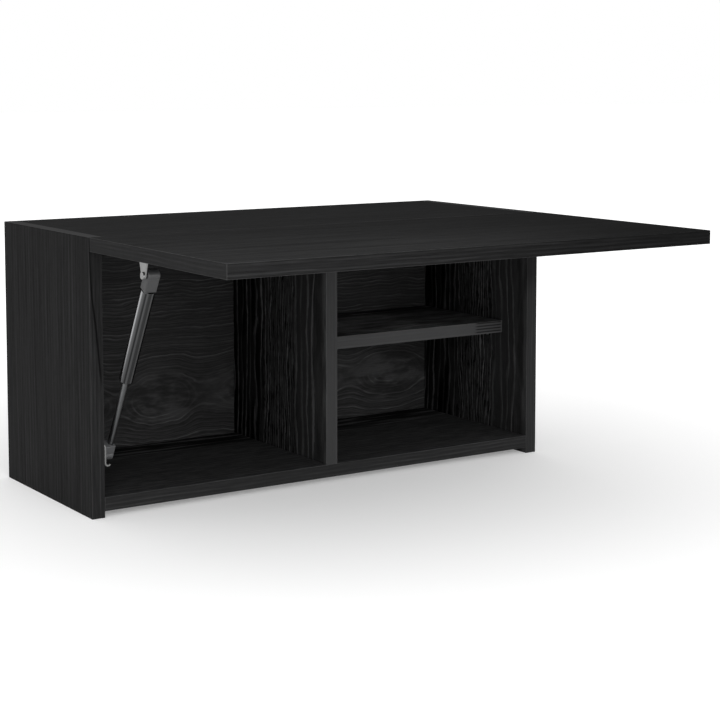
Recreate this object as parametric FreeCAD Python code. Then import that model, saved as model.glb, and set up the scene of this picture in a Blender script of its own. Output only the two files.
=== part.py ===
import FreeCAD, Part
import os
from math import sqrt, cos, sin, radians, pi

# Low cabinet-style coffee table: an open two-bay carcass with a full-width
# flap hinged along the top front edge and held up by one gas strut.
# Units are millimetres.  +Z is up, -Y is the front (flap side), +X is right.
# The origin is at floor level, at the centre of the plan box with the flap
# raised.

# ---------------------------------------------------------------- dimensions
WIDTH = 720.0            # over the side panels
HEIGHT = 360.0           # floor to top face
DEPTH = 278.0            # carcass depth, front edge to rear face
BOARD = 18.0             # board thickness everywhere
FOOT_GAP = 8.5           # bottom panel above the floor
FLAP_GAP = 2.5           # flap rear edge to carcass front when raised
FLAP_LEN = 353.5         # flap, rear edge to front edge
SHELF_Z = 174.5          # underside of the shelf
SHELF_SETBACK = 59.0     # shelf front edge behind the carcass front
EDGE_R = 0.7             # rounding of the boards' edges

HINGE_Y = -11.0          # hinge axis, measured from the carcass front plane
HINGE_Z = 348.5
HINGE_X = 260.0          # hinge centres left and right of the middle

CUP_R = 17.5
CUP_DEPTH = 11.5
CUP_Y = -23.0            # cup centre with the flap raised

STRUT_X = -319.8         # plane of the strut
STRUT_LO = (37.7, 74.6)  # lower pivot (y from front plane, z)
STRUT_UP = (-95.3, 319.4)  # upper pivot with the flap raised
TUBE_R = 9.0
TUBE_WALL = 1.0
ROD_R = 4.0
TUBE_START = 22.0        # distances along the strut from the upper pivot
TUBE_END = 161.0
ROD_END = 262.5

# front plane of the carcass in the row frame
FRONT = (FLAP_LEN + FLAP_GAP - DEPTH) / 2.0     # = 39.0

X0 = -WIDTH / 2.0
XI = WIDTH / 2.0 - BOARD          # inner faces of the side panels
TOP_U = HEIGHT - BOARD            # underside of the top panel
BOT_T = FOOT_GAP + BOARD          # top face of the bottom panel
BACK_Y = DEPTH - BOARD            # inner face of the back panel

V = FreeCAD.Vector
os.makedirs("parts", exist_ok=True)


def pt(x, y, z):
    """Point given with y measured from the carcass front plane."""
    return V(x, y + FRONT, z)


def box(x0, x1, y0, y1, z0, z1):
    return Part.makeBox(x1 - x0, y1 - y0, z1 - z0, pt(x0, y0, z0))


def board(x0, x1, y0, y1, z0, z1, r=EDGE_R):
    s = box(x0, x1, y0, y1, z0, z1)
    return s.makeFillet(r, s.Edges)


def cyl(x, y, z, r, h, d):
    return Part.makeCylinder(r, h, pt(x, y, z), V(*d))


def cone(x, y, z, r1, r2, h, d):
    return Part.makeCone(r1, r2, h, pt(x, y, z), V(*d))


def prism_yz(points, x0, x1):
    """Extrude a closed outline given as (y, z) from x0 to x1."""
    vs = [pt(x0, y, z) for y, z in points]
    vs.append(vs[0])
    return Part.Face(Part.makePolygon(vs)).extrude(V(x1 - x0, 0, 0))


def prism_xz(points, y0, y1):
    vs = [pt(x, y0, z) for x, z in points]
    vs.append(vs[0])
    return Part.Face(Part.makePolygon(vs)).extrude(V(0, y1 - y0, 0))


def arc(cx, cz, r, a0, a1, n=8):
    out = []
    for i in range(n + 1):
        a = radians(a0 + (a1 - a0) * i / n)
        out.append((cx + r * cos(a), cz + r * sin(a)))
    return out


def strip(path, t):
    """Outline of a bent strip of thickness t about a centre line."""
    left, right = [], []
    n = len(path)
    for i, (x, z) in enumerate(path):
        dirs = []
        if i > 0:
            a = path[i - 1]
            dirs.append((x - a[0], z - a[1]))
        if i < n - 1:
            b = path[i + 1]
            dirs.append((b[0] - x, b[1] - z))
        ux = uz = 0.0
        for dx, dz in dirs:
            m = sqrt(dx * dx + dz * dz)
            ux += dx / m
            uz += dz / m
        m = sqrt(ux * ux + uz * uz)
        ux /= m
        uz /= m
        k = 1.0
        if len(dirs) == 2:
            m0 = sqrt(dirs[0][0] ** 2 + dirs[0][1] ** 2)
            k = 1.0 / max(0.5, (dirs[0][0] * ux + dirs[0][1] * uz) / m0)
        nx, nz = -uz * t / 2 * k, ux * t / 2 * k
        left.append((x + nx, z + nz))
        right.append((x - nx, z - nz))
    return left + right[::-1]


def group(solids):
    return Part.makeCompound(solids)


def turned_x(xa, xb, y, z, r, e, n=4):
    """A disc turned about an X axis, its two rims rounded by e in n steps."""
    prof = [(xa, 0.0)]
    for i in range(n + 1):
        a = radians(90.0 * i / n)
        prof.append((xa + e - e * cos(a), r - e + e * sin(a)))
    for i in range(n + 1):
        a = radians(90.0 * i / n)
        prof.append((xb - e + e * sin(a), r - e + e * cos(a)))
    prof.append((xb, 0.0))
    vs = [pt(x, y, z + q) for x, q in prof]
    vs.append(vs[0])
    return Part.Face(Part.makePolygon(vs)).revolve(pt(0, y, z), V(1, 0, 0), 360)


NODES = {}
KEEP = []


def put(name, shape):
    NODES[name] = shape
    KEEP.append(name)


# ------------------------------------------------------------------- joinery
# cam locks, cam bolts and dowels: (joint face x or z, direction, y, z)
cam_locks, cam_bolts, dowels = [], [], []
holes_side = {-1: [], 1: []}
holes_top, holes_bottom, holes_back, holes_div = [], [], [], []


def cam_set(side, y, z, cam_dir, holes_panel, cam_face):
    """One cam fitting joining a panel's end (at x = side*XI) to a side."""
    xf = side * XI
    inward = (-side, 0, 0)
    outward = (side, 0, 0)
    # hole for the bolt's thread in the side panel
    holes_side[side].append(cyl(xf, y, z, 2.5, 11.0, outward))
    # bore along the panel's end, and the cam's pocket
    holes_panel.append(cyl(xf, y, z, 4.0, 34.0, inward))
    xc = xf - side * 34.0
    if cam_dir == "down":
        zc = cam_face
        d = (0, 0, 1)
        holes_panel.append(cyl(xc, y, zc, 7.5, 12.5, d))
        lock = cyl(xc, y, zc + 0.2, 7.4, 12.2, d)
        slot = box(xc - 4.5, xc + 4.5, y - 0.8, y + 0.8, zc + 0.2, zc + 3.2)
        slot2 = box(xc - 0.8, xc + 0.8, y - 4.5, y + 4.5, zc + 0.2, zc + 3.2)
    else:
        yc = cam_face
        d = (0, -1, 0)
        holes_panel.append(cyl(xc, yc, z, 7.5, 12.5, d))
        lock = cyl(xc, yc - 0.2, z, 7.4, 12.2, d)
        slot = box(xc - 4.5, xc + 4.5, yc - 3.2, yc - 0.2, z - 0.8, z + 0.8)
        slot2 = box(xc - 0.8, xc + 0.8, yc - 3.2, yc - 0.2, z - 4.5, z + 4.5)
    lock = lock.cut(slot.fuse(slot2))
    lock = lock.cut(cyl(xc + side * 8.0, y, z, 3.9, 11.0, inward))
    cam_locks.append(lock)
    bolt = cyl(xf + side * 10.8, y, z, 2.5, 10.8, inward)
    bolt = bolt.fuse(cyl(xf, y, z, 3.4, 25.0, inward))
    bolt = bolt.fuse(cyl(xf - side * 25.0, y, z, 1.9, 4.5, inward))
    bolt = bolt.fuse(cyl(xf - side * 29.5, y, z, 3.2, 4.5, inward))
    cam_bolts.append(bolt.removeSplitter())


def dowel_x(side, y, z, holes_panel):
    xf = side * XI
    holes_side[side].append(cyl(xf, y, z, 4.0, 10.5, (side, 0, 0)))
    holes_panel.append(cyl(xf, y, z, 4.0, 21.0, (-side, 0, 0)))
    d = cyl(xf + side * 10.0, y, z, 4.0, 30.0, (-side, 0, 0))
    ends = [e for e in d.Edges if e.Curve.TypeId == "Part::GeomCircle"]
    dowels.append(d.makeChamfer(0.8, ends))


Z_TOP_MID = HEIGHT - BOARD / 2
Z_BOT_MID = FOOT_GAP + BOARD / 2
Y_BACK_MID = DEPTH - BOARD / 2
for s in (-1, 1):
    for yy in (72.0, 206.0):
        cam_set(s, yy, Z_TOP_MID, "down", holes_top, TOP_U)
        cam_set(s, yy, Z_BOT_MID, "down", holes_bottom, FOOT_GAP)
    for yy in (36.0, 244.0):
        dowel_x(s, yy, Z_TOP_MID, holes_top)
        dowel_x(s, yy, Z_BOT_MID, holes_bottom)
    for zz in (92.0, 276.0):
        cam_set(s, Y_BACK_MID, zz, "back", holes_back, DEPTH)
    for zz in (56.0, 312.0):
        dowel_x(s, Y_BACK_MID, zz, holes_back)

# divider: dowels into the top, two long screws up through the bottom panel
for yy in (48.0, 212.0):
    holes_top.append(cyl(0, yy, TOP_U, 4.0, 10.5, (0, 0, 1)))
    holes_div.append(cyl(0, yy, TOP_U, 4.0, 21.0, (0, 0, -1)))
    d = cyl(0, yy, TOP_U + 10.0, 4.0, 30.0, (0, 0, -1))
    ends = [e for e in d.Edges if e.Curve.TypeId == "Part::GeomCircle"]
    dowels.append(d.makeChamfer(0.8, ends))

divider_screws = []
for yy in (66.0, 196.0):
    z0 = FOOT_GAP + 0.4
    shank = cyl(0, yy, z0, 3.4, 17.6, (0, 0, 1))
    head = cone(0, yy, z0, 4.8, 3.4, 3.0, (0, 0, 1))
    thread = cyl(0, yy, z0 + 17.6, 2.5, 30.0, (0, 0, 1))
    tip = cone(0, yy, z0 + 47.6, 2.5, 0.6, 2.4, (0, 0, 1))
    body = shank.fuse(head).fuse(thread).fuse(tip).removeSplitter()
    holes_bottom.append(cyl(0, yy, FOOT_GAP - 1, 3.4, BOARD + 2, (0, 0, 1)))
    holes_bottom.append(cone(0, yy, FOOT_GAP, 5.0, 3.4, 3.4, (0, 0, 1)))
    holes_div.append(cyl(0, yy, BOT_T - 1, 2.5, 34.0, (0, 0, 1)))
    hexa = Part.makePolygon([pt(2.2 * cos(radians(a)), yy + 2.2 * sin(radians(a)), z0)
                             for a in range(0, 361, 60)])
    body = body.cut(Part.Face(hexa).extrude(V(0, 0, 2.6)))
    divider_screws.append(body)

# shelf pegs: a round pin in the panel and a flat ledge under the shelf
shelf_pegs = []
SHELF_Y0 = SHELF_SETBACK
SHELF_Y1 = BACK_Y - 1.0
for (xf, dx) in ((BOARD / 2, 1), (XI, -1)):
    for yy in (SHELF_Y0 + 36.0, SHELF_Y1 - 36.0):
        zc = SHELF_Z - 4.0
        pin = cyl(xf - dx * 8.0, yy, zc, 2.5, 8.0, (dx, 0, 0))
        flange = cyl(xf, yy, zc, 4.0, 1.2, (dx, 0, 0))
        flange = flange.common(box(-400, 400, yy - 9, yy + 9, zc - 9, SHELF_Z))
        a, b = sorted((xf, xf + dx * 10.0))
        ledge = box(a, b, yy - 4.0, yy + 4.0, SHELF_Z - 1.6, SHELF_Z)
        rib = prism_xz([(xf, SHELF_Z - 1.6), (xf + dx * 8.0, SHELF_Z - 1.6),
                        (xf, SHELF_Z - 8.0)], yy - 0.8, yy + 0.8)
        shelf_pegs.append(pin.fuse(flange).fuse(ledge).fuse(rib).removeSplitter())
        h = cyl(xf, yy, zc, 2.5, 8.4, (-dx, 0, 0))
        if dx == 1:
            holes_div.append(h)
        else:
            holes_side[1].append(h)

# --------------------------------------------------------------- gas strut
dy = STRUT_LO[0] - STRUT_UP[0]
dz = STRUT_LO[1] - STRUT_UP[1]
STRUT_LEN = sqrt(dy * dy + dz * dz)
UY, UZ = dy / STRUT_LEN, dz / STRUT_LEN
AX = (0, UY, UZ)                       # upper pivot towards lower pivot


def on(s):
    return pt(STRUT_X, STRUT_UP[0] + UY * s, STRUT_UP[1] + UZ * s)


def scyl(s0, s1, r):
    return Part.makeCylinder(r, s1 - s0, on(s0), V(*AX))


def scone(s0, s1, r0, r1):
    return Part.makeCone(r0, r1, s1 - s0, on(s0), V(*AX))


def sblock(s0, s1, h, x0, x1, r_end, r_long, out):
    """Block along the strut, h to each side of its axis, with its long edges
    rounded and the edges of the end at distance out rounded too."""
    pts = []
    for s, p in ((s0, -h), (s1, -h), (s1, h), (s0, h)):
        pts.append((STRUT_UP[0] + UY * s - UZ * p, STRUT_UP[1] + UZ * s + UY * p))
    b = prism_yz(pts, x0, x1)
    long_edges = [e for e in b.Edges if e.BoundBox.XLength < 1e-6 and
                  abs(e.Length - (s1 - s0)) < 1e-3]
    b = b.makeFillet(r_long, long_edges)
    end = []
    for e in b.Edges:
        c = e.CenterOfMass
        along = (c.y - FRONT - STRUT_UP[0]) * UY + (c.z - STRUT_UP[1]) * UZ
        if abs(along - out) < 1e-3:
            end.append(e)
    return b.makeFillet(r_end, end)


tube = scyl(TUBE_START, TUBE_END, TUBE_R)
ends = [e for e in tube.Edges if e.Curve.TypeId == "Part::GeomCircle"]
tube = tube.makeFillet(1.2, ends)
rim = scyl(TUBE_START, TUBE_START + 1.8, 9.3)    # rolled rim at the closed end
rim = rim.makeFillet(0.5, [e for e in rim.Edges
                           if e.Curve.TypeId == "Part::GeomCircle"])
tube = tube.fuse(rim).removeSplitter()
tube = tube.cut(scyl(TUBE_START + 1.5, TUBE_END - 1.5, TUBE_R - TUBE_WALL))
tube = tube.cut(scyl(TUBE_START - 1, TUBE_START + 3, 5.0))
tube = tube.cut(scyl(TUBE_END - 3, TUBE_END + 1, 5.4))
put("strut_cylinder", tube)

plug = scyl(TUBE_START + 1.5, TUBE_START + 8.0, TUBE_R - TUBE_WALL)
plug = plug.fuse(scyl(TUBE_START, TUBE_START + 1.5, 5.0))
plug = plug.fuse(scyl(TUBE_START - 10.0, TUBE_START, 3.0)).removeSplitter()
put("strut_end_plug", plug)

rod_seal = scyl(TUBE_END - 15.0, TUBE_END - 11.5, TUBE_R - TUBE_WALL)
rod_seal = rod_seal.cut(scyl(TUBE_END - 16.0, TUBE_END - 10.0, ROD_R + 0.05))
put("strut_rod_seal", rod_seal)
guide = scyl(TUBE_END - 11.5, TUBE_END - 1.5, TUBE_R - TUBE_WALL)
guide = guide.fuse(scyl(TUBE_END - 1.5, TUBE_END + 0.6, 5.4))
guide = guide.cut(scyl(TUBE_END - 12.0, TUBE_END + 2.0, ROD_R + 0.05))
put("strut_rod_guide", guide.removeSplitter())

piston = scyl(TUBE_END - 27.0, TUBE_END - 19.0, 7.55)
piston = piston.cut(scyl(TUBE_END - 24.5, TUBE_END - 21.5, 7.55).cut(
    scyl(TUBE_END - 24.5, TUBE_END - 21.5, 6.4)))
piston = piston.cut(scyl(TUBE_END - 28.0, TUBE_END - 18.0, 2.4))
put("strut_piston", piston)
ring = scyl(TUBE_END - 24.5, TUBE_END - 21.5, 7.94).cut(
    scyl(TUBE_END - 25.0, TUBE_END - 21.0, 6.4))
put("strut_piston_ring", ring)

rod = scyl(TUBE_END - 19.0, ROD_END, ROD_R)
rod = rod.fuse(scyl(TUBE_END - 28.0, TUBE_END - 19.0, 2.4))
rod = rod.fuse(scyl(ROD_END, ROD_END + 4.5, 2.9)).removeSplitter()
put("strut_rod", rod)

SOCK_L = 8.4             # upper socket's half widths about the strut plane
SOCK_R = 8.1
xl = STRUT_X - SOCK_L
xr = STRUT_X + SOCK_R
lxl = STRUT_X - 10.4     # lower socket's side faces
lxr = STRUT_X + 4.9

# upper end socket: round eye with a closed face beside the ear, on a
# rounded block nearly as wide as the tube
eye = turned_x(xl, xr, STRUT_UP[0], STRUT_UP[1], 7.6, 1.8)
sleeve = sblock(0.0, TUBE_START, 7.0, xl, xr, 0.9, 1.5, TUBE_START)
up = eye.fuse(sleeve).removeSplitter()
up = up.cut(scyl(TUBE_START - 10.0, TUBE_START + 1.0, 3.0))
put("strut_upper_socket", up)

# lower end socket: round eye on the stud, block with rounded corners on the
# rod
eye = turned_x(lxl, lxr, STRUT_LO[0], STRUT_LO[1], 8.5, 2.0)
neck = sblock(ROD_END, STRUT_LEN, 7.5, lxl, lxr, 0.8, 1.5, ROD_END)
lo = eye.fuse(neck).removeSplitter()
lo = lo.cut(scyl(ROD_END - 1.0, ROD_END + 4.5, 2.9))
STUD_R = 3.0
lo = lo.cut(cyl(lxl - 1, STRUT_LO[0], STRUT_LO[1], STUD_R + 0.05,
                lxr - lxl + 1 - 3.0, (1, 0, 0)))
put("strut_lower_socket", lo)

# lower bracket: base plate on the side panel, folded ear carrying the stud,
# curled foot under the socket
T = 2.0
ey = STRUT_LO[0]
path = [(-341.0, 60.0), (-341.0, 86.0)]
path += arc(-337.0, 86.0, 4.0, 180, 90, 5)[1:]
path += arc(-336.0, 86.0, 4.0, 90, 0, 5)
path += [(-332.0, 65.8)]
path += arc(-328.4, 65.8, 3.6, 180, 325, 9)[1:]
lb = prism_xz(strip(path, T), ey - 18.7, ey + 8.5)
base = box(-342.0, -340.0, ey - 18.7, ey + 40.0, 55.0, 86.0)
lb = lb.fuse(base).removeSplitter()
corner = [e for e in lb.Edges if abs(e.BoundBox.YLength) < 1e-6 and
          abs(e.BoundBox.ZLength) < 1e-6 and e.BoundBox.XMax < -339.9
          and e.BoundBox.YMin > FRONT + ey + 39]
if corner:
    try:
        lb2 = lb.makeFillet(4.0, corner)
        if lb2.isValid():
            lb = lb2
    except Exception:
        pass
lb_screws = []
for zz in (62.0, 79.0):
    yy = ey + 28.0
    lb = lb.cut(cyl(-343, yy, zz, 2.2, 5, (1, 0, 0)))
    lb = lb.cut(cone(-341.6, yy, zz, 2.2, 3.8, 1.6, (1, 0, 0)))
    sc = cone(-341.6, yy, zz, 2.1, 3.7, 1.6, (1, 0, 0))
    sc = sc.fuse(cyl(-355.0, yy, zz, 1.9, 13.4, (1, 0, 0)))
    sc = sc.cut(box(-340.9, -339, yy - 2.2, yy + 2.2, zz - 0.45, zz + 0.45).fuse(
        box(-340.9, -339, yy - 0.45, yy + 0.45, zz - 2.2, zz + 2.2)))
    lb_screws.append(sc.removeSplitter())
    holes_side[-1].append(cyl(-356.0, yy, zz, 1.9, 14.0, (1, 0, 0)))
lb = lb.cut(cyl(-334.0, ey, STRUT_LO[1], STUD_R, 4.0, (1, 0, 0)))
put("lower_bracket", lb)
put("lower_bracket_screws", group(lb_screws))
stud = cyl(-334.6, ey, STRUT_LO[1], 4.6, 1.6, (1, 0, 0))
stud = stud.fuse(cyl(-333.0, ey, STRUT_LO[1], STUD_R, lxr - 3.3 + 333.0, (1, 0, 0)))
stud = stud.removeSplitter()
put("lower_stud", stud)

# upper bracket: flange screwed under the flap, outboard of the strut plane,
# with a tapering ear
UYP, UZP = STRUT_UP
a_r = 4.8
ear = [(-107.5, TOP_U), (-84.5, TOP_U)]
ear_tip = arc(UYP, UZP, a_r, -13, -167, 10)
ear += ear_tip
ub = prism_yz(ear, -332.0, -330.0)
flange = box(-341.0, -330.0, -118.0, -72.0, TOP_U - 2.0, TOP_U)
ub = ub.fuse(flange).removeSplitter()
ub_screws = []
for yy in (-108.0, -82.0):
    xx = -336.6
    ub = ub.cut(cyl(xx, yy, TOP_U - 3, 2.2, 5, (0, 0, 1)))
    ub = ub.cut(cone(xx, yy, TOP_U - 2.0, 3.8, 2.2, 1.6, (0, 0, 1)))
    sc = cone(xx, yy, TOP_U - 2.0, 3.7, 2.1, 1.6, (0, 0, 1))
    sc = sc.fuse(cyl(xx, yy, TOP_U - 0.4, 1.9, 13.0, (0, 0, 1)))
    sc = sc.cut(box(xx - 2.2, xx + 2.2, yy - 0.45, yy + 0.45, TOP_U - 2.1, TOP_U - 1.2).fuse(
        box(xx - 0.45, xx + 0.45, yy - 2.2, yy + 2.2, TOP_U - 2.1, TOP_U - 1.2)))
    ub_screws.append(sc.removeSplitter())
ub = ub.cut(cyl(-333, UYP, UZP, STUD_R, 4.0, (1, 0, 0)))
put("upper_bracket", ub)
put("upper_bracket_screws", group(ub_screws))
# the stud's tip stops just short of the socket's face
stud = cyl(-333.6, UYP, UZP, 4.6, 1.6, (1, 0, 0))
stud = stud.fuse(cyl(-332.0, UYP, UZP, STUD_R, (xl - 0.45) + 332.0, (1, 0, 0)))
put("upper_stud", stud.removeSplitter())

# --------------------------------------------------------- concealed hinges
flap_holes = []
for yy in (-108.0, -82.0):
    flap_holes.append(cyl(-336.6, yy, TOP_U - 1, 1.9, 14.0, (0, 0, 1)))
cup_screws, plate_screws, hinge_pins, arm_screws = [], [], [], []
PIN_R = 1.5


def hinge(cx, tag):
    zt = TOP_U
    # cup pressed into the flap
    cup = cyl(cx, CUP_Y, zt, CUP_R, CUP_DEPTH, (0, 0, 1))
    fl = cyl(cx, CUP_Y, zt - 1.2, CUP_R + 1.8, 1.2, (0, 0, 1))
    wing = box(cx - 29.0, cx + 29.0, CUP_Y - 17.0, CUP_Y - 2.0, zt - 1.2, zt)
    ve = [e for e in wing.Edges if e.BoundBox.ZLength > 1.0]
    wing = wing.makeFillet(5.0, ve)
    cup = cup.fuse(fl).fuse(wing).removeSplitter()
    cup = cup.cut(cyl(cx, CUP_Y, zt - 2, CUP_R - 1.0, CUP_DEPTH + 2 - 1.0, (0, 0, 1)))
    for sx in (-1, 1):
        a, b = sorted((cx + sx * 6.0, cx + sx * 9.5))
        lug = box(a, b, HINGE_Y - 4.0, HINGE_Y + 2.6, HINGE_Z - 3.2, zt + CUP_DEPTH - 0.5)
        lug = lug.common(cyl(cx, CUP_Y, zt, CUP_R - 0.4, CUP_DEPTH, (0, 0, 1)))
        cup = cup.fuse(lug)
    cup = cup.cut(cyl(cx - 9.5, HINGE_Y, HINGE_Z, PIN_R, 19.0, (1, 0, 0)))
    for sx in (-1, 1):
        hx, hy = cx + sx * 24.0, CUP_Y - 9.5
        cup = cup.cut(cyl(hx, hy, zt - 2, 2.0, 4, (0, 0, 1)))
        cup = cup.cut(cone(hx, hy, zt - 1.2, 3.2, 2.0, 1.2, (0, 0, 1)))
        sc = cone(hx, hy, zt - 1.2, 3.1, 1.9, 1.2, (0, 0, 1))
        sc = sc.fuse(cyl(hx, hy, zt, 1.75, 12.0, (0, 0, 1)))
        sc = sc.cut(box(hx - 1.8, hx + 1.8, hy - 0.4, hy + 0.4, zt - 1.3, zt - 0.5).fuse(
            box(hx - 0.4, hx + 0.4, hy - 1.8, hy + 1.8, zt - 1.3, zt - 0.5)))
        cup_screws.append(sc.removeSplitter())
        flap_holes.append(cyl(hx, hy, zt - 1, 1.75, 13.4, (0, 0, 1)))
    flap_holes.append(cyl(cx, CUP_Y, zt - 1, CUP_R, CUP_DEPTH + 1, (0, 0, 1)))
    put("hinge_cup_" + tag, cup.removeSplitter())
    hinge_pins.append(cyl(cx - 9.5, HINGE_Y, HINGE_Z, PIN_R, 19.0, (1, 0, 0)))

    # arm: knuckle in the cup, neck, and a channel over the plate's rail
    R = 3.2
    narrow = prism_yz([(HINGE_Y + R, HINGE_Z), (HINGE_Y + R, 340.3), (12.0, 340.3 - 2.0),
                       (12.0, 331.0), (-4.0, 333.5), (-10.0, 336.0),
                       (HINGE_Y - R, 340.0), (HINGE_Y - R, HINGE_Z)],
                      cx - 5.0, cx + 5.0)
    knuckle = cyl(cx - 5.0, HINGE_Y, HINGE_Z, R, 10.0, (1, 0, 0))
    wide = prism_yz([(3.0, 339.0), (6.0, 338.5), (72.0, 338.5), (72.0, 330.5),
                     (70.0, 328.5), (22.0, 328.5), (3.0, 332.4)],
                    cx - 7.0, cx + 7.0)
    arm = narrow.fuse(knuckle).fuse(wide)
    arm = arm.cut(box(cx - 5.5, cx + 5.5, 20.0, 80.0, 330.0, 345.0))
    arm = arm.cut(prism_yz([(-1.0, 345), (-1.0, 336.0), (20.5, 331.5), (20.5, 345)],
                           cx - 3.6, cx + 3.6))
    arm = arm.cut(cyl(cx - 8, HINGE_Y, HINGE_Z, PIN_R + 0.05, 16.0, (1, 0, 0)))
    # slot for the fixing screw and a round hole for the adjusting screw
    arm = arm.cut(box(cx - 2.1, cx + 2.1, 50.0, 58.0, 327.0, 331.0))
    arm = arm.cut(cyl(cx, 50.0, 327.0, 2.1, 4.0, (0, 0, 1)))
    arm = arm.cut(cyl(cx, 58.0, 327.0, 2.1, 4.0, (0, 0, 1)))
    arm = arm.cut(cyl(cx, 32.0, 327.0, 3.05, 4.0, (0, 0, 1)))
    put("hinge_arm_" + tag, arm.removeSplitter())

    # mounting plate under the top panel: rail and two wings
    rail = box(cx - 5.2, cx + 5.2, 24.0, 68.0, 330.3, zt)
    wings = box(cx - 27.0, cx + 27.0, 34.0, 52.0, zt - 1.8, zt)
    ve = [e for e in wings.Edges if e.BoundBox.ZLength > 1.0]
    wings = wings.makeFillet(6.0, ve)
    plate = rail.fuse(wings).removeSplitter()
    plate = plate.cut(cyl(cx, 54.0, 329.0, 1.9, 9.0, (0, 0, 1)))
    plate = plate.cut(cyl(cx, 32.0, 329.0, 2.5, 9.0, (0, 0, 1)))
    for sx in (-1, 1):
        hx, hy = cx + sx * 19.0, 43.0
        plate = plate.cut(cyl(hx, hy, zt - 3, 2.1, 5, (0, 0, 1)))
        plate = plate.cut(cone(hx, hy, zt - 1.8, 3.6, 2.1, 1.6, (0, 0, 1)))
        sc = cone(hx, hy, zt - 1.8, 3.5, 2.0, 1.6, (0, 0, 1))
        sc = sc.fuse(cyl(hx, hy, zt - 0.2, 1.75, 12.0, (0, 0, 1)))
        sc = sc.cut(box(hx - 2.0, hx + 2.0, hy - 0.4, hy + 0.4, zt - 1.9, zt - 1.0).fuse(
            box(hx - 0.4, hx + 0.4, hy - 2.0, hy + 2.0, zt - 1.9, zt - 1.0)))
        plate_screws.append(sc.removeSplitter())
        holes_top.append(cyl(hx, hy, zt - 1, 1.75, 13.2, (0, 0, 1)))
    put("hinge_plate_" + tag, plate)
    # fixing screw through the arm's slot, adjusting screw in front of it
    fx = cyl(cx, 54.0, 326.4, 3.6, 2.1, (0, 0, 1))
    fx = fx.fuse(cyl(cx, 54.0, 328.5, 1.9, 9.0, (0, 0, 1)))
    fx = fx.cut(box(cx - 2.2, cx + 2.2, 53.6, 54.4, 326.0, 327.4).fuse(
        box(cx - 0.4, cx + 0.4, 51.8, 56.2, 326.0, 327.4)))
    arm_screws.append(fx.removeSplitter())
    ad = cyl(cx, 32.0, 328.2, 2.9, 2.1, (0, 0, 1))
    ad = ad.fuse(cyl(cx, 32.0, 330.3, 2.5, 7.0, (0, 0, 1)))
    ad = ad.cut(box(cx - 2.0, cx + 2.0, 31.6, 32.4, 328.0, 329.1).fuse(
        box(cx - 0.4, cx + 0.4, 30.0, 34.0, 328.0, 329.1)))
    arm_screws.append(ad.removeSplitter())


hinge(-HINGE_X, "left")
hinge(HINGE_X, "right")
put("hinge_pins", group(hinge_pins))
put("hinge_cup_screws", group(cup_screws))
put("hinge_plate_screws", group(plate_screws))
put("hinge_adjusting_screws", group(arm_screws))

# -------------------------------------------------------------------- boards


def cut_all(s, tools):
    if not tools:
        return s
    return s.cut(Part.makeCompound(tools))


left = board(X0, -XI, 0, DEPTH, 0, HEIGHT)
right = board(XI, -X0, 0, DEPTH, 0, HEIGHT)
put("left_side_panel", cut_all(left, holes_side[-1]))
put("right_side_panel", cut_all(right, holes_side[1]))
top = board(-XI, XI, 0, DEPTH, TOP_U, HEIGHT)
put("top_panel", cut_all(top, holes_top))
bottom = board(-XI, XI, 0, DEPTH, FOOT_GAP, BOT_T)
put("bottom_panel", cut_all(bottom, holes_bottom))
back = board(-XI, XI, BACK_Y, DEPTH, BOT_T, TOP_U)
put("back_panel", cut_all(back, holes_back))
divider = board(-BOARD / 2, BOARD / 2, 0, BACK_Y, BOT_T, TOP_U)
put("divider_panel", cut_all(divider, holes_div))
shelf = board(BOARD / 2 + 0.2, XI - 0.2, SHELF_Y0, SHELF_Y1, SHELF_Z, SHELF_Z + BOARD)
put("shelf_panel", shelf)
flap = board(X0, -X0, -FLAP_GAP - FLAP_LEN, -FLAP_GAP, TOP_U, HEIGHT)
put("flap_panel", cut_all(flap, flap_holes))

put("cam_locks", group(cam_locks))
put("cam_bolts", group(cam_bolts))
put("wood_dowels", group(dowels))
put("divider_screws", group(divider_screws))
put("shelf_pegs", group(shelf_pegs))

for name in KEEP:
    s = NODES[name]
    if not s.isValid():
        print("INVALID", name)
    s.exportStep("parts/%s.step" % name)

print("nodes", len(KEEP), "strut length", round(STRUT_LEN, 3))
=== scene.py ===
import bpy
import math
from mathutils import Vector, Matrix


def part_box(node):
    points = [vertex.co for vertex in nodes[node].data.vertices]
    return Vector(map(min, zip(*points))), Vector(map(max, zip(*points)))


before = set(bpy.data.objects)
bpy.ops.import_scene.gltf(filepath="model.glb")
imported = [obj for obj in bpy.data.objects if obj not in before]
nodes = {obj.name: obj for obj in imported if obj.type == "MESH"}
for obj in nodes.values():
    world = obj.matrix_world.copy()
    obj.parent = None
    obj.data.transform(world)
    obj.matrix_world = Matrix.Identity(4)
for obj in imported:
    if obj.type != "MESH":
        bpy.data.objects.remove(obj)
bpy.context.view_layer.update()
scene = bpy.context.scene
scene.view_settings.view_transform = "Standard"
scene.view_settings.look = "None"
scene.view_settings.exposure = 0.0
scene.view_settings.gamma = 1.0

SKY = (0.10, 0.55, 0.064, 0.784)
FRONT = 0.039            # front plane of the carcass in the row frame
AX = {"X": 0, "Y": 1, "Z": 2}


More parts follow.
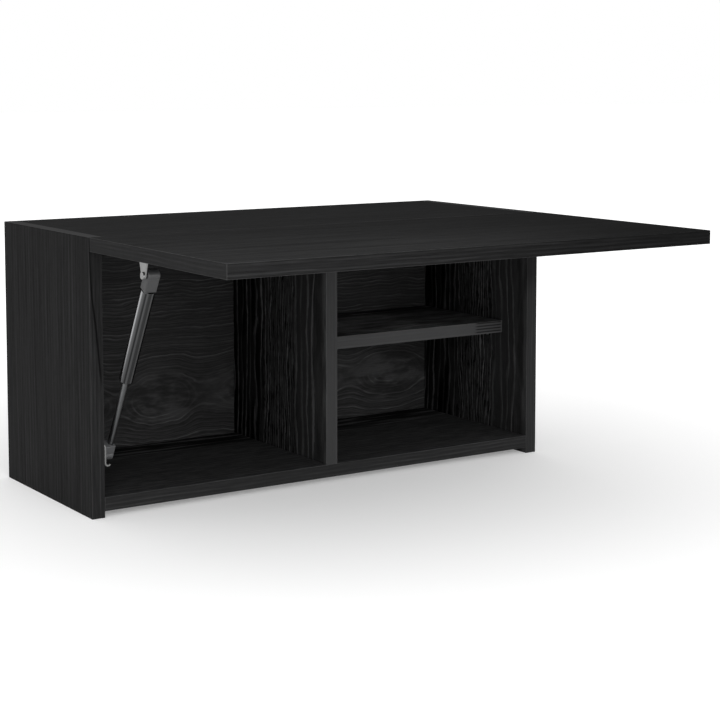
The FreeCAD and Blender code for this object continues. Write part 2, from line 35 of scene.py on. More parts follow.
# ------------------------------------------------------------------ node help
class Tree:
    """A short way to write shader nodes: values are sockets or numbers."""

    def __init__(self, name):
        self.mat = bpy.data.materials.new(name)
        self.mat.use_nodes = True
        self.nt = self.mat.node_tree
        self.nt.nodes.clear()
        self.out = self.nt.nodes.new("ShaderNodeOutputMaterial")
        self.bsdf = self.nt.nodes.new("ShaderNodeBsdfPrincipled")
        self.nt.links.new(self.bsdf.outputs[0], self.out.inputs["Surface"])

    def _set(self, sock, v):
        if isinstance(v, bpy.types.NodeSocket):
            self.nt.links.new(v, sock)
        elif v is not None:
            sock.default_value = v

    def m(self, op, a, b=None, c=None, clamp=False):
        n = self.nt.nodes.new("ShaderNodeMath")
        n.operation = op
        n.use_clamp = clamp
        for i, v in enumerate((a, b, c)):
            if v is not None:
                self._set(n.inputs[i], v)
        return n.outputs[0]

    def add(self, a, b):
        return self.m("ADD", a, b)

    def sub(self, a, b):
        return self.m("SUBTRACT", a, b)

    def mul(self, a, b):
        return self.m("MULTIPLY", a, b)

    def rng(self, v, a, b, c=0.0, d=1.0, smooth=True):
        n = self.nt.nodes.new("ShaderNodeMapRange")
        n.interpolation_type = "SMOOTHSTEP" if smooth else "LINEAR"
        n.clamp = True
        self._set(n.inputs["Value"], v)
        self._set(n.inputs["From Min"], a)
        self._set(n.inputs["From Max"], b)
        self._set(n.inputs["To Min"], c)
        self._set(n.inputs["To Max"], d)
        return n.outputs[0]

    def lerp(self, f, a, b):
        """a where f is 0, b where f is 1."""
        n = self.nt.nodes.new("ShaderNodeMix")
        n.data_type = "FLOAT"
        n.clamp_factor = True
        self._set(n.inputs[0], f)
        self._set(n.inputs[2], a)
        self._set(n.inputs[3], b)
        return n.outputs[0]

    def vec(self, x, y, z):
        n = self.nt.nodes.new("ShaderNodeCombineXYZ")
        for i, v in enumerate((x, y, z)):
            self._set(n.inputs[i], v)
        return n.outputs[0]

    def noise(self, v, scale=1.0, detail=2.0, rough=0.5, dist=0.0):
        n = self.nt.nodes.new("ShaderNodeTexNoise")
        n.noise_dimensions = "3D"
        self._set(n.inputs["Vector"], v)
        n.inputs["Scale"].default_value = scale
        n.inputs["Detail"].default_value = detail
        n.inputs["Roughness"].default_value = rough
        n.inputs["Distortion"].default_value = dist
        return n.outputs[0]

    def coords(self):
        n = self.nt.nodes.new("ShaderNodeTexCoord")
        s = self.nt.nodes.new("ShaderNodeSeparateXYZ")
        t = self.nt.nodes.new("ShaderNodeSeparateXYZ")
        self.nt.links.new(n.outputs["Object"], s.inputs[0])
        self.nt.links.new(n.outputs["Normal"], t.inputs[0])
        return n.outputs["Object"], s.outputs, t.outputs

    def rgb(self, r, g, b):
        n = self.nt.nodes.new("ShaderNodeCombineColor")
        for i, v in enumerate((r, g, b)):
            self._set(n.inputs[i], v)
        return n.outputs[0]

    def bump(self, h, strength, dist):
        n = self.nt.nodes.new("ShaderNodeBump")
        n.inputs["Strength"].default_value = strength
        n.inputs["Distance"].default_value = dist
        self._set(n.inputs["Height"], h)
        return n.outputs[0]


def steps(T, v, knots):
    """A rising piecewise straight function through (value, total) knots."""
    q = None
    for (a, na), (b, nb) in zip(knots, knots[1:]):
        r = T.rng(v, a, b, 0.0, nb - na, smooth=False)
        q = r if q is None else T.add(q, r)
    return q


def growth(T, q, u, v, seed, width=0.5, keep=0.45, brk=0.5):
    """Thin light lines at each whole number of q, each with its own strength,
    breaking up a little along the grain."""
    f = T.m("FRACT", q)
    idx = T.m("FLOOR", q)
    line = T.mul(T.rng(f, 0.0, 0.5 * width),
                 T.sub(1.0, T.rng(f, 0.55 * width, width + 0.12)))
    own = T.noise(T.vec(T.mul(idx, 7.31), T.mul(u, 2.2), seed + 2.0), 1.0, 1.0, 0.5)
    brk_n = T.noise(T.vec(T.mul(u, 17.0), T.mul(idx, 3.7), T.add(T.mul(v, 90.0), seed)),
                    1.0, 2.0, 0.6)
    amp = T.mul(T.rng(own, 0.34, 0.66, keep, 1.0), T.rng(brk_n, 0.30, 0.62, 1.0 - brk, 1.0))
    return T.mul(line, amp)


def warped(T, u, v, seed, a1=0.006, a2=0.0012, a3=0.0003, f1=2.6, f2=14.0):
    """Push the cross-grain coordinate about, so that lines wander."""
    n1 = T.noise(T.vec(T.mul(u, f1), T.mul(v, 9.0), seed), 1.0, 1.0, 0.4)
    n2 = T.noise(T.vec(T.mul(u, f2), T.mul(v, 55.0), seed + 3.1), 1.0, 1.0, 0.5)
    n3 = T.noise(T.vec(T.mul(u, 90.0), T.mul(v, 300.0), seed + 5.7), 1.0, 2.0, 0.6)
    d = T.add(T.mul(T.sub(n1, 0.5), 2.0 * a1),
              T.add(T.mul(T.sub(n2, 0.5), 2.0 * a2), T.mul(T.sub(n3, 0.5), 2.0 * a3)))
    return T.add(v, d), n1


def pore_dashes(T, u, v, seed):
    """Open pores: dark dashes 2 to 8 mm long and a few tenths wide."""
    p1 = T.noise(T.vec(T.mul(u, 120.0), T.mul(v, 2300.0), seed + 1.7), 1.0, 2.0, 0.6)
    p2 = T.noise(T.vec(T.mul(u, 36.0), T.mul(v, 760.0), seed + 2.9), 1.0, 2.0, 0.6)
    return T.add(T.mul(T.rng(p1, 0.40, 0.62), 0.45), T.mul(T.rng(p2, 0.36, 0.64), 0.55))


# ---- what a broad face can look like; each gives a tone from 0 to about 1
def face_rift(T, u, v, seed, knots, tones, a1=0.006, keep=0.40, width=0.5, pore=0.22,
              cloud=0.25, line_amt=0.60):
    """Straight-grained face whose line spacing changes across the board."""
    w, n1 = warped(T, u, v, seed, a1=a1, a2=0.0085, a3=0.0020, f1=4.2, f2=13.0)
    q = steps(T, w, knots)
    line = growth(T, q, u, v, seed, width=width, keep=keep, brk=0.65)
    po = pore_dashes(T, u, v, seed)
    ground = tone_steps(T, w, tones)
    # short dark dashes between the lines, strongest half way back
    dash = T.noise(T.vec(T.mul(u, 46.0), T.mul(w, 420.0), seed + 61.0), 1.0, 2.0, 0.6)
    zone = T.mul(T.rng(v, 0.105, 0.135), T.sub(1.0, T.rng(v, 0.205, 0.235)))
    ground = T.mul(ground, T.sub(1.0, T.mul(T.mul(T.rng(dash, 0.50, 0.57), zone), 0.85)))
    # black patches near the rear edge, between bright wavy lines
    blot = T.noise(T.vec(T.mul(u, 5.0), T.mul(w, 75.0), seed + 81.0), 1.0, 1.0, 0.4)
    rear = T.rng(v, 0.200, 0.235)
    ground = T.mul(ground, T.sub(1.0, T.mul(T.mul(T.rng(blot, 0.46, 0.54), rear), 0.92)))
    line = T.mul(line, T.add(1.0, T.mul(rear, 0.9)))
    line = T.mul(line, T.add(1.0, T.mul(zone, 0.7)))
    mott = T.noise(T.vec(T.mul(u, 16.0), T.mul(v, 85.0), seed + 71.0), 1.0, 2.0, 0.55)
    fz = T.sub(1.0, T.rng(v, 0.060, 0.085))
    ground = T.mul(ground, T.add(1.0, T.mul(T.mul(T.sub(T.rng(mott, 0.40, 0.62), 0.4), fz), 0.5)))
    cl = T.noise(T.vec(T.mul(u, 4.0), T.mul(v, 34.0), seed + 9.0), 1.0, 3.0, 0.55)
    ground = T.mul(ground, T.add(1.0 - cloud, T.mul(cl, 2.0 * cloud)))
    ground = T.mul(ground, T.add(1.0 - pore, T.mul(po, pore)))
    return T.add(ground, T.mul(line, T.add(line_amt, T.mul(po, 0.30)))), po, line


def face_cathedral(T, u, v, seed, v0, knots, depth, pitch, tone=0.34, pore=0.25):
    """Flat-sawn face: closed loops where the rings dip, cathedral points
    between them, and nearly straight lines further out."""
    w, n1 = warped(T, u, v, seed, a1=0.0075, a2=0.0042, a3=0.0006, f1=5.5, f2=30.0)
    s = steps(T, u, knots)
    cosv = T.m("COSINE", T.mul(s, 2.0 * math.pi))
    d = T.mul(T.sub(1.0, cosv), 0.5 * depth)
    dv = T.sub(w, v0)
    R = T.m("SQRT", T.add(T.mul(dv, dv), T.mul(d, d)))
    q = T.m("DIVIDE", R, pitch)
    line = growth(T, q, u, v, seed, width=0.42, keep=0.25, brk=0.80)
    po = pore_dashes(T, u, v, seed)
    cl = T.noise(T.vec(T.mul(u, 17.0), T.mul(v, 48.0), seed + 9.0), 1.0, 3.0, 0.6)
    near = T.sub(1.0, T.rng(R, 0.012, 0.055))         # mottled inside the loops
    ground = T.add(tone * 0.62, T.mul(cl, tone * 0.76))
    ground = T.add(ground, T.mul(near, T.mul(T.rng(cl, 0.40, 0.62), 0.42)))
    patch = T.noise(T.vec(T.mul(u, 13.0), T.mul(v, 30.0), seed + 17.0), 1.0, 1.0, 0.5)
    line = T.mul(line, T.sub(1.0, T.mul(T.mul(near, T.rng(patch, 0.62, 0.46)), 0.95)))
    ground = T.mul(ground, T.add(1.0 - pore, T.mul(po, pore)))
    # a finer line between the main ones, away from the loops
    fine = growth(T, T.add(T.mul(q, 2.0), 0.5), u, v, seed + 40.0, width=0.45, keep=0.2)
    line = T.m("MAXIMUM", line, T.mul(fine, T.mul(T.sub(1.0, near), 0.55)))
    return T.add(ground, T.mul(line, 0.60)), po, line


def face_plain(T, u, v, seed, pitch=0.009, ground=0.52, line_amt=0.30, pore=0.20,
               cloud=0.10, a1=0.010):
    """The quiet outer foil: faint straight lines and fine pores."""
    w, n1 = warped(T, u, v, seed, a1=a1, f1=1.6, f2=7.0)
    line = growth(T, T.m("DIVIDE", w, pitch), u, v, seed, width=0.5, keep=0.1, brk=0.7)
    fine = T.noise(T.vec(T.mul(u, 6.0), T.mul(v, 420.0), seed + 14.0), 1.0, 2.0, 0.55)
    po = pore_dashes(T, u, v, seed)
    cl = T.noise(T.vec(T.mul(u, 5.0), T.mul(v, 26.0), seed + 9.0), 1.0, 3.0, 0.55)
    g = T.mul(ground, T.add(1.0 - 2.0 * cloud, T.mul(cl, 4.0 * cloud)))
    g = T.add(g, T.mul(T.sub(T.rng(fine, 0.34, 0.66), 0.5), 0.19))
    deep = T.noise(T.vec(T.mul(u, 3.2), T.mul(w, 130.0), seed + 24.0), 1.0, 2.0, 0.55)
    g = T.mul(g, T.sub(1.0, T.mul(T.rng(deep, 0.52, 0.66), 0.30)))
    g = T.mul(g, T.add(1.0 - pore, T.mul(po, pore)))
    return T.add(g, T.mul(line, line_amt)), po, line


def toned(face, tone):
    """A broad face multiplied by a slow tone over the board."""
    def run(T, u, v, seed):
        g, po, line = face(T, u, v, seed)
        return T.mul(g, tone(T, u, v)), po, line
    return run


def face_floor(T, u, v, seed, y0, y1, ground=0.42, amt=0.85):
    """Smooth quiet grain with a strip of black lens-shaped streaks at the rear."""
    w, n1 = warped(T, u, v, seed, a1=0.007, a2=0.0016, f1=4.0, f2=11.0)
    line = growth(T, T.m("DIVIDE", w, 0.0095), u, v, seed, width=0.55, keep=0.1, brk=0.8)
    po = pore_dashes(T, u, v, seed)
    cl = T.noise(T.vec(T.mul(u, 5.0), T.mul(v, 40.0), seed + 9.0), 1.0, 3.0, 0.55)
    g = T.mul(ground, T.add(0.66, T.mul(cl, 0.68)))
    fl = T.noise(T.vec(T.mul(u, 30.0), T.mul(v, 190.0), seed + 33.0), 1.0, 3.0, 0.65)
    g = T.mul(g, T.add(0.66, T.mul(T.rng(fl, 0.34, 0.66), 0.68)))
    g = T.mul(g, T.add(0.62, T.mul(po, 0.38)))
    g = T.add(g, T.mul(line, 0.20))
    wob = T.mul(T.sub(n1, 0.5), 0.05)
    dark = T.rng(T.add(v, wob), y0, y1)
    lens = T.noise(T.vec(T.mul(u, 9.0), T.mul(w, 128.0), seed + 20.0), 1.0, 2.0, 0.40)
    body = T.mul(T.mul(dark, T.rng(lens, 0.56, 0.44)), T.rng(u, -0.33, -0.16, 0.62, 1.0))
    glow = T.mul(T.mul(dark, T.rng(lens, 0.54, 0.64)), 0.42)   # pale rims of the streaks
    return T.add(T.mul(g, T.sub(1.0, T.mul(body, amt))), glow), po, line


def band_tone(T, along, across, seed, pitch=0.0050, wave=0.0026, fine=0.35):
    """Edge band: long shallow waves with fine streaks over them."""
    n1 = T.noise(T.vec(T.mul(along, 9.0), T.mul(across, 70.0), seed), 1.0, 1.0, 0.4)
    n2 = T.noise(T.vec(T.mul(along, 34.0), T.mul(across, 240.0), seed + 1.0), 1.0, 1.0, 0.5)
    w = T.add(across, T.add(T.mul(T.sub(n1, 0.5), 2.0 * wave),
                            T.mul(T.sub(n2, 0.5), 0.5 * wave)))
    line = growth(T, T.m("DIVIDE", w, pitch), along, across, seed, width=0.55, keep=0.15,
                  brk=0.6)
    fn = T.noise(T.vec(T.mul(along, 26.0), T.mul(across, 1300.0), seed + 4.0), 1.0, 2.0, 0.6)
    return T.add(T.mul(line, 1.0 - fine), T.mul(T.rng(fn, 0.30, 0.70), fine))


def oak(name, node, g, c, t, seed, pos, neg, lo=0.0, hi=0.055, edge=(0.018, 0.030),
        end=(0.020, 0.034), spec=0.020, rough=0.60, extra=None, pos_gain=1.0,
        neg_gain=1.0, edge_wave=0.0026, rim=0.016):
    """Black-stained oak foil on a board.  g, c, t: the axes along the grain,
    across it and through the board.  pos and neg draw the broad faces that
    look along +t and -t."""
    T = Tree(name)
    obj, P, N = T.coords()
    u, v, w = P[AX[g]], P[AX[c]], P[AX[t]]
    nc = T.m("ABSOLUTE", N[AX[c]])
    ng = T.m("ABSOLUTE", N[AX[g]])
    nt_ = T.m("ABSOLUTE", N[AX[t]])
    is_long = T.m("GREATER_THAN", nc, 0.72)
    is_end = T.m("GREATER_THAN", ng, 0.72)
    front = T.m("GREATER_THAN", N[AX[t]], 0.0)

    fp, pp, lp = pos(T, u, v, seed)
    fn, pn, ln = neg(T, u, v, seed + 50.0)
    fp = T.mul(fp, pos_gain)
    fn = T.mul(fn, neg_gain)
    face = T.lerp(front, fn, fp)
    pore = T.lerp(front, pn, pp)
    line = T.lerp(front, ln, lp)
    face = T.add(lo, T.mul(face, hi - lo))

    # the joint between edge band and foil, a hair inside each edge
    b0, b1 = [list(q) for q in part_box(node)]
    seam = None
    for a in (AX[g], AX[c]):
        d = T.m("MINIMUM", T.sub(P[a], b0[a]), T.sub(b1[a], P[a]))
        k = T.sub(1.0, T.rng(T.m("ABSOLUTE", T.sub(d, 0.00125)), 0.00005, 0.00022))
        seam = k if seam is None else T.m("MAXIMUM", seam, k)
    face = T.mul(face, T.sub(1.0, T.mul(seam, 0.45)))

    e1 = T.lerp(band_tone(T, u, w, seed + 31.0, wave=edge_wave), edge[0], edge[1])
    e2 = T.lerp(band_tone(T, v, w, seed + 37.0, wave=edge_wave), end[0], end[1])
    col = T.lerp(is_long, face, e1)
    col = T.lerp(is_end, col, e2)
    # painted highlight: slightly paler roundings, standing in for the bright edge highlight
    mx = T.m("MAXIMUM", nc, T.m("MAXIMUM", ng, nt_))
    rounding_highlight = T.mul(T.sub(1.0, T.rng(mx, 0.93, 0.995)),
                T.rng(T.noise(obj, 60.0, 2.0, 0.5), 0.25, 0.60, 0.45, 1.0))
    col = T.add(col, T.mul(rounding_highlight, rim))
    if extra is not None:
        col = extra(T, P, N, col)
    T._set(T.bsdf.inputs["Base Color"], T.rgb(col, col, T.mul(col, 1.015)))

    h = T.sub(T.add(T.mul(pore, 0.6), T.mul(line, 0.4)), T.mul(seam, 0.8))
    T._set(T.bsdf.inputs["Normal"], T.bump(h, 0.20, 0.00020))
    T._set(T.bsdf.inputs["Roughness"], T.add(T.mul(T.sub(1.0, pore), 0.12), rough))
    T.bsdf.inputs["Specular IOR Level"].default_value = spec
    return T.mat


def shelf_stripes(T, P, N, col):
    """Dark stripes in the shelf's edge band near its right end."""
    m = T.mul(T.rng(P[0], 0.2885, 0.2965), T.sub(1.0, T.rng(P[0], 0.337, 0.342)))
    z = T.m("FRACT", T.m("DIVIDE", T.sub(P[2], 0.1755), 0.0044))
    s = T.mul(T.rng(z, 0.22, 0.42), T.sub(1.0, T.rng(z, 0.66, 0.88)))
    front = T.m("GREATER_THAN", T.m("ABSOLUTE", N[1]), 0.72)
    k = T.mul(T.mul(m, s), front)
    return T.mul(col, T.sub(1.0, T.mul(k, 0.78)))


def left_grain_mark_and_flap_shadow(T, P, N, col):
    """A long dark grain mark curving down the left panel's front edge, and painted shadow of the flap darkening
    that edge, more towards the top.
    """
    front = T.m("LESS_THAN", N[1], -0.72)
    z = P[2]
    xc = tone_steps(T, z, [(0.172, -0.3450), (0.248, -0.3518), (0.280, -0.3560),
                           (0.3025, -0.3576), (0.357, -0.3594)])
    d = T.m("ABSOLUTE", T.sub(P[0], xc))
    k = T.sub(1.0, T.rng(d, 0.0006, 0.0018))
    k = T.mul(k, T.rng(z, 0.162, 0.190))
    # painted shadow of the flap: the front edge darkened, more towards the top
    flap_shadow_tone = T.rng(z, 0.150, 0.215, 0.86, 0.78)
    col = T.mul(col, T.lerp(front, 1.0, flap_shadow_tone))
    return T.mul(col, T.sub(1.0, T.mul(T.mul(k, front), 0.72)))


def tone_steps(T, v, pts):
    q = pts[0][1]
    for (a, ta), (b, tb) in zip(pts, pts[1:]):
        q = T.add(q, T.rng(v, a, b, 0.0, tb - ta, smooth=False))
    return q


QUIET = lambda T, u, v, seed: face_plain(T, u, v, seed)


def side_tone(T, z, y):
    return T.rng(z, 0.0, 0.30, 0.60, 0.50, smooth=False)


def dim_tone(T, u, v):
    return 0.62


def top_light_falloff(T, x, y):
    """The fixed top: a little darker to the right, painted light falling off away from the front left."""
    return T.rng(x, 0.05, 0.36, 0.46, 0.38, smooth=False)


def flap_light_falloff(T, x, y):
    """The flap: paler towards the front left, darker front right, painted light falling from the front left."""
    base = T.rng(y, 0.0, -0.30, 0.48, 0.86, smooth=False)
    amt = T.rng(y, 0.0, -0.30, 0.34, 0.78, smooth=False)
    return T.mul(base, T.sub(1.0, T.mul(T.rng(x, -0.12, 0.34), amt)))


def flap_front_light_falloff(T, P, N, col):
    """The flap's front edge: paler to the left, darker to the right, painted light falling from the left."""
    front = T.m("LESS_THAN", N[1], -0.30)
    return T.lerp(front, col, T.mul(col, T.rng(P[0], -0.30, 0.30, 0.78, 0.36)))


def right_front_flap_shadow(T, P, N, col):
    """The right panel's front edge is darker towards the top: painted shadow of the flap."""
    front = T.m("LESS_THAN", N[1], -0.72)
    k = T.mul(front, T.rng(P[2], 0.235, 0.275, 0.0, 0.42))
    return T.mul(col, T.sub(1.0, k))


M = {}
CARC_TONES = [(0.045, 0.36), (0.120, 0.40), (0.205, 0.46), (0.238, 0.22), (0.300, 0.10)]


def oak_inner(T, u, v, seed):
    return face_rift(T, u, v, seed,
                     [(0.030, 0.0), (0.066, 0.7), (0.122, 4.4), (0.210, 18.4), (0.325, 27.4)],
                     CARC_TONES, a1=0.018, keep=0.30, width=0.34, pore=0.40, cloud=0.35,
                     line_amt=0.72)


def oak_back(T, u, v, seed):
    return face_cathedral(T, u, v, seed, 0.0895,
                          [(-0.345, -1.0), (-0.270, 0.0), (-0.200, 0.5), (-0.130, 1.0),
                           (-0.0626, 1.5), (0.069, 2.0), (0.200, 2.5), (0.2736, 3.0),
                           (0.345, 3.5)], 0.030, 0.0054)


def floor_left_right(T, u, v, seed):
    g, po, line = face_floor(T, u, v, seed, 0.218, 0.250)
    return T.mul(g, 1.42), po, line


def shelf_face(T, u, v, seed):
    g, po, line = face_floor(T, u, v, seed, 0.245, 0.285, ground=0.55)
    left = T.rng(u, 0.02, 0.10, 0.35, 1.0)
    right = T.rng(u, 0.18, 0.30, 1.0, 0.62)
    mott = T.noise(T.vec(T.mul(u, 9.0), T.mul(v, 26.0), seed + 47.0), 1.0, 2.0, 0.55)
    blot = T.rng(mott, 0.36, 0.62, 0.55, 1.25)
    # painted light: the shelf top's tone raised nearly five times, standing in for light that reaches under the
    # flap
    return T.mul(T.mul(g, T.mul(T.mul(left, right), blot)), 4.8), po, line


M["left_side_panel"] = oak("oak_left_side", "left_side_panel", "Z", "Y", "X", 1.3,
                           oak_inner, toned(QUIET, side_tone), edge=(0.011, 0.034),
                           end=(0.034, 0.046), extra=left_grain_mark_and_flap_shadow)
M["right_side_panel"] = oak("oak_right_side", "right_side_panel", "Z", "Y", "X", 7.9,
                            toned(QUIET, side_tone), oak_inner, edge=(0.016, 0.032),
                            end=(0.030, 0.042), extra=right_front_flap_shadow)
M["divider_panel"] = oak("oak_divider", "divider_panel", "Z", "Y", "X", 4.4,
                         oak_inner, oak_inner, edge=(0.030, 0.042), end=(0.02, 0.03))
M["top_panel"] = oak("oak_top", "top_panel", "X", "Y", "Z", 2.2,
                     toned(QUIET, top_light_falloff), toned(QUIET, dim_tone), spec=0.014)
M["flap_panel"] = oak("oak_flap", "flap_panel", "X", "Y", "Z", 11.6,
                      toned(QUIET, flap_light_falloff), toned(QUIET, dim_tone), edge=(0.010, 0.034),
                      end=(0.016, 0.029), rim=0.030, spec=0.014, extra=flap_front_light_falloff)
M["bottom_panel"] = oak("oak_bottom", "bottom_panel", "X", "Y", "Z", 15.2,
                        floor_left_right, toned(QUIET, dim_tone), edge=(0.012, 0.032))
M["shelf_panel"] = oak("oak_shelf", "shelf_panel", "X", "Y", "Z", 19.8, shelf_face, QUIET,
                       edge=(0.042, 0.056), extra=shelf_stripes)
M["back_panel"] = oak("oak_back", "back_panel", "X", "Z", "Y", 23.5,
                      toned(QUIET, dim_tone), oak_back)
for n, mat in M.items():
    o = nodes[n]
    o.data.materials.clear()
    o.data.materials.append(mat)


# ---------------------------------------------------------------- hardware
def metal(name, base, rough, scratch=0.0, bump=0.0, lines=0.0, along=None, reflection_bands=None):
    """Worn metal; along draws fine drawn lines down that direction, and a list of painted reflections round the
    tube may be given.
    """
    T = Tree(name)
    obj, P, N = T.coords()
    T.bsdf.inputs["Metallic"].default_value = 1.0
    a = T.noise(obj, 900.0, 3.0, 0.6)
    b = T.noise(obj, 55.0, 2.0, 0.5)
    k = T.add(0.91, T.mul(b, 0.18))
    if along is not None:
        # P minus its part along the axis: the same down the whole length
        uy, uz = along
        s = T.add(T.mul(P[1], uy), T.mul(P[2], uz))
        py = T.sub(P[1], T.mul(s, uy))
        pz = T.sub(P[2], T.mul(s, uz))
        fine = T.noise(T.vec(T.mul(P[0], 900.0), T.mul(py, 900.0),
                             T.add(T.mul(pz, 900.0), T.mul(s, 14.0))), 1.0, 2.0, 0.6)
        k = T.mul(k, T.add(1.0 - lines, T.mul(fine, 2.0 * lines)))
    if reflection_bands is not None:
        # painted reflections: bright and dark lengthwise stripes at set places round the tube
        e = T.add(T.mul(N[0], 0.836), T.mul(N[1], -0.548))
        q = reflection_bands[0][1]
        for (a0, t0), (a1, t1) in zip(reflection_bands, reflection_bands[1:]):
            q = T.add(q, T.rng(e, a0, a1, 0.0, t1 - t0))
        k = T.mul(k, q)
    T._set(T.bsdf.inputs["Base Color"],
           T.rgb(T.mul(k, base[0]), T.mul(k, base[1]), T.mul(k, base[2])))
    T._set(T.bsdf.inputs["Roughness"],
           T.add(rough, T.mul(T.sub(T.add(T.mul(a, 0.5), T.mul(b, 0.5)), 0.5), scratch)))
    if bump:
        T._set(T.bsdf.inputs["Normal"], T.bump(a, bump, 0.0001))
    return T.mat


AXIS = (0.4774, -0.8787)      # the strut's direction in y and z at rest
# painted reflections round the strut's tube and rod: (place round the tube, brightness) knots
TUBE_REFLECTION_BANDS = [(-1.0, 0.55), (-0.96, 0.9), (-0.88, 3.3), (-0.72, 2.6), (-0.60, 0.95),
              (-0.36, 0.70), (-0.22, 0.24), (-0.10, 0.30), (0.0, 0.85), (0.14, 0.75),
              (0.26, 0.42), (0.55, 0.40), (0.66, 0.95), (0.80, 0.85), (0.93, 0.30)]
ROD_REFLECTION_BANDS = [(-1.0, 0.9), (-0.85, 1.7), (-0.45, 1.25), (0.0, 0.95), (0.35, 0.75),
             (0.70, 0.75), (0.90, 0.45)]
chrome = metal("chrome_tube", (0.105, 0.106, 0.108), 0.16, scratch=0.08, lines=0.35,
               along=AXIS, reflection_bands=TUBE_REFLECTION_BANDS)
rodm = metal("hard_chrome_rod", (0.140, 0.142, 0.145), 0.36, scratch=0.08, lines=0.30,
             along=AXIS, reflection_bands=ROD_REFLECTION_BANDS)
plate = metal("nickel_plate", (0.46, 0.46, 0.455), 0.28, scratch=0.22, bump=0.10)
ear_plate = metal("nickel_plate_ear", (0.25, 0.25, 0.248), 0.30, scratch=0.22, bump=0.14)
hook_plate = metal("nickel_plate_hook", (0.17, 0.17, 0.168), 0.32, scratch=0.22, bump=0.14)
zinc = metal("zinc_cast", (0.40, 0.41, 0.42), 0.42, scratch=0.25, bump=0.35)
screw = metal("zinc_screw", (0.50, 0.50, 0.49), 0.30, scratch=0.20, bump=0.12)


def plastic(name, base, rough, grain=260.0, depth=0.00006):
    T = Tree(name)
    obj, P, N = T.coords()
    a = T.noise(obj, grain * 10.0, 2.0, 0.5)
    b = T.noise(obj, 120.0, 3.0, 0.5)
    k = T.add(0.93, T.mul(b, 0.14))
    T._set(T.bsdf.inputs["Base Color"],
           T.rgb(T.mul(k, base[0]), T.mul(k, base[1]), T.mul(k, base[2])))
    T._set(T.bsdf.inputs["Roughness"], T.add(rough, T.mul(T.sub(b, 0.5), 0.12)))
    T._set(T.bsdf.inputs["Normal"], T.bump(a, 0.25, depth))
    T.bsdf.inputs["Specular IOR Level"].default_value = 0.5
    return T.mat


sock_up = plastic("grey_nylon", (0.033, 0.0335, 0.0345), 0.42)
sock_lo = plastic("light_nylon", (0.066, 0.067, 0.069), 0.40)
rubber = plastic("nitrile", (0.012, 0.012, 0.012), 0.55)


def beech(name):
    T = Tree(name)
    obj, P, N = T.coords()
    a = T.noise(T.vec(T.mul(P[0], 60.0), T.mul(P[1], 900.0), T.mul(P[2], 900.0)), 1.0, 3.0)
    T._set(T.bsdf.inputs["Base Color"],
           T.rgb(T.lerp(a, 0.42, 0.60), T.lerp(a, 0.27, 0.42), T.lerp(a, 0.14, 0.24)))
    T.bsdf.inputs["Roughness"].default_value = 0.6
    return T.mat


H = {"strut_cylinder": chrome, "strut_rod": rodm, "strut_upper_socket": sock_up,
     "strut_lower_socket": sock_lo, "strut_rod_guide": rubber, "strut_rod_seal": rubber,
     "strut_piston": sock_up, "strut_piston_ring": rubber, "strut_end_plug": plate,
     "upper_bracket": ear_plate, "upper_stud": ear_plate, "lower_bracket": hook_plate,
     "lower_stud": hook_plate, "shelf_pegs": hook_plate, "cam_locks": zinc, "wood_dowels": beech("beech_dowel")}
for n, o in nodes.items():
    if n in M:
        continue
    mat = H.get(n)
    if mat is None:
        mat = screw if "screw" in n or n in ("cam_bolts", "shelf_pegs") else plate
    o.data.materials.clear()
    o.data.materials.append(mat)

# ------------------------------------------------------------------ the stage
bpy.ops.mesh.primitive_plane_add(size=40.0, location=(0.0, 0.0, 0.0))
floor = bpy.context.object
floor.name = "studio_floor"
T = Tree("studio_floor")
T.bsdf.inputs["Base Color"].default_value = (0.86, 0.86, 0.86, 1.0)
T.bsdf.inputs["Roughness"].default_value = 0.75
T.bsdf.inputs["Specular IOR Level"].default_value = 0.2
T.bsdf.inputs["Emission Color"].default_value = (1.0, 1.0, 1.0, 1.0)
fo, fp_, fn_ = T.coords()
rad = T.m("SQRT", T.add(T.mul(fp_[0], fp_[0]), T.mul(fp_[1], fp_[1])))
T._set(T.bsdf.inputs["Emission Strength"], T.rng(rad, 0.35, 1.8, 0.22, 0.62))
floor.data.materials.append(T.mat)

world = bpy.data.worlds.new("studio")
world.use_nodes = True
nt = world.node_tree
nt.nodes.clear()
tc = nt.nodes.new("ShaderNodeTexCoord")
sp = nt.nodes.new("ShaderNodeSeparateXYZ")
nt.links.new(tc.outputs["Generated"], sp.inputs[0])
sky = nt.nodes.new("ShaderNodeMapRange")          # dim horizon, bright overhead
sky.interpolation_type = "SMOOTHSTEP"
nt.links.new(sp.outputs[2], sky.inputs["Value"])
sky.inputs["From Min"].default_value = SKY[0]
sky.inputs["From Max"].default_value = SKY[1]
sky.inputs["To Min"].default_value = SKY[2]
sky.inputs["To Max"].default_value = SKY[3]
soft = nt.nodes.new("ShaderNodeBackground")
soft.inputs["Color"].default_value = (1.0, 1.0, 1.0, 1.0)
nt.links.new(sky.outputs[0], soft.inputs["Strength"])
white = nt.nodes.new("ShaderNodeBackground")      # the plain white surround
white.inputs["Color"].default_value = (1.0, 1.0, 1.0, 1.0)
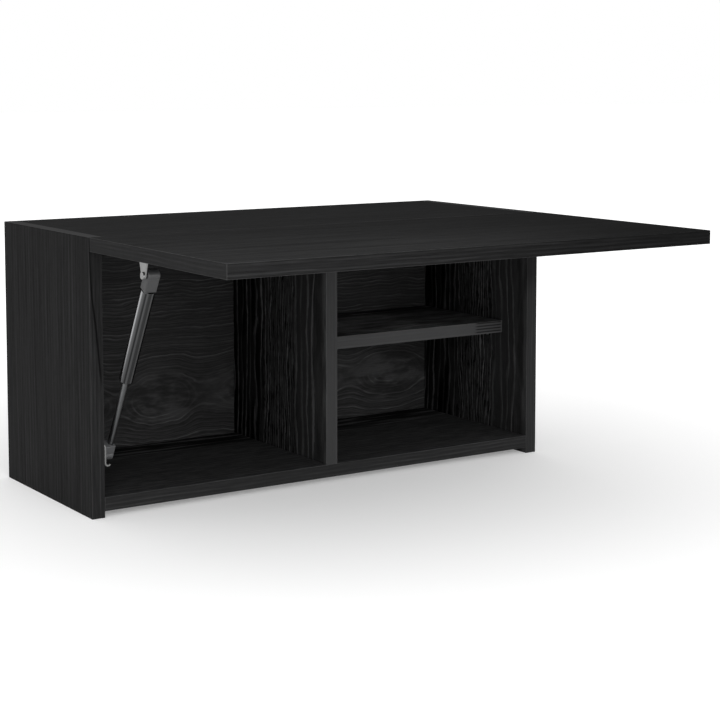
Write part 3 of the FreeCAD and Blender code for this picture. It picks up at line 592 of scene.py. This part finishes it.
white.inputs["Strength"].default_value = 1.0
lp = nt.nodes.new("ShaderNodeLightPath")
mix = nt.nodes.new("ShaderNodeMixShader")
nt.links.new(lp.outputs["Is Camera Ray"], mix.inputs[0])
nt.links.new(soft.outputs[0], mix.inputs[1])
nt.links.new(white.outputs[0], mix.inputs[2])
wo = nt.nodes.new("ShaderNodeOutputWorld")
nt.links.new(mix.outputs[0], wo.inputs["Surface"])
scene.world = world


def area(name, loc, target, size, power, shape="RECTANGLE"):
    d = bpy.data.lights.new(name, "AREA")
    d.shape = shape
    d.size, d.size_y = size
    d.energy = power
    o = bpy.data.objects.new(name, d)
    scene.collection.objects.link(o)
    o.location = loc
    o.rotation_euler = (Vector(target) - Vector(loc)).to_track_quat("-Z", "Y").to_euler()
    o.visible_camera = False
    return o


area("front_low", (0.0, -4.0, 0.5), (0.0, 0.0, 0.2), (5.0, 1.0), 54.0)
area("front_mid", (-1.0, -3.6, 1.6), (0.0, 0.0, 0.2), (3.0, 1.5), 72.0)
area("left_low", (-3.5, -1.0, 0.7), (0.0, 0.0, 0.2), (2.5, 1.0), 20.0)
area("near_left", (-0.75, -0.95, 1.0), (-0.25, -0.25, 0.35), (0.6, 0.6), 1.6)
area("rear", (0.0, 3.6, 2.2), (0.0, 0.0, 0.2), (3.5, 1.6), 8.0)

# ----------------------------------------------------------------- the camera
cd = bpy.data.cameras.new("camera")
cd.sensor_width = 36.0
cd.lens = 1731.575 * 36.0 / 720.0
cd.shift_x = 0.0
cd.shift_y = -0.18
cd.clip_start, cd.clip_end = 0.05, 100.0
cam = bpy.data.objects.new("camera", cd)
scene.collection.objects.link(cam)
yaw, pitch = math.radians(-33.346), math.radians(-5.248)
fwd = Vector((-math.sin(yaw) * math.cos(pitch), math.cos(yaw) * math.cos(pitch),
              math.sin(pitch)))
cam.location = (-1.26015, -1.98528 + FRONT, 0.56651)
cam.rotation_mode = "QUATERNION"
cam.rotation_quaternion = fwd.to_track_quat("-Z", "Y")
scene.camera = cam
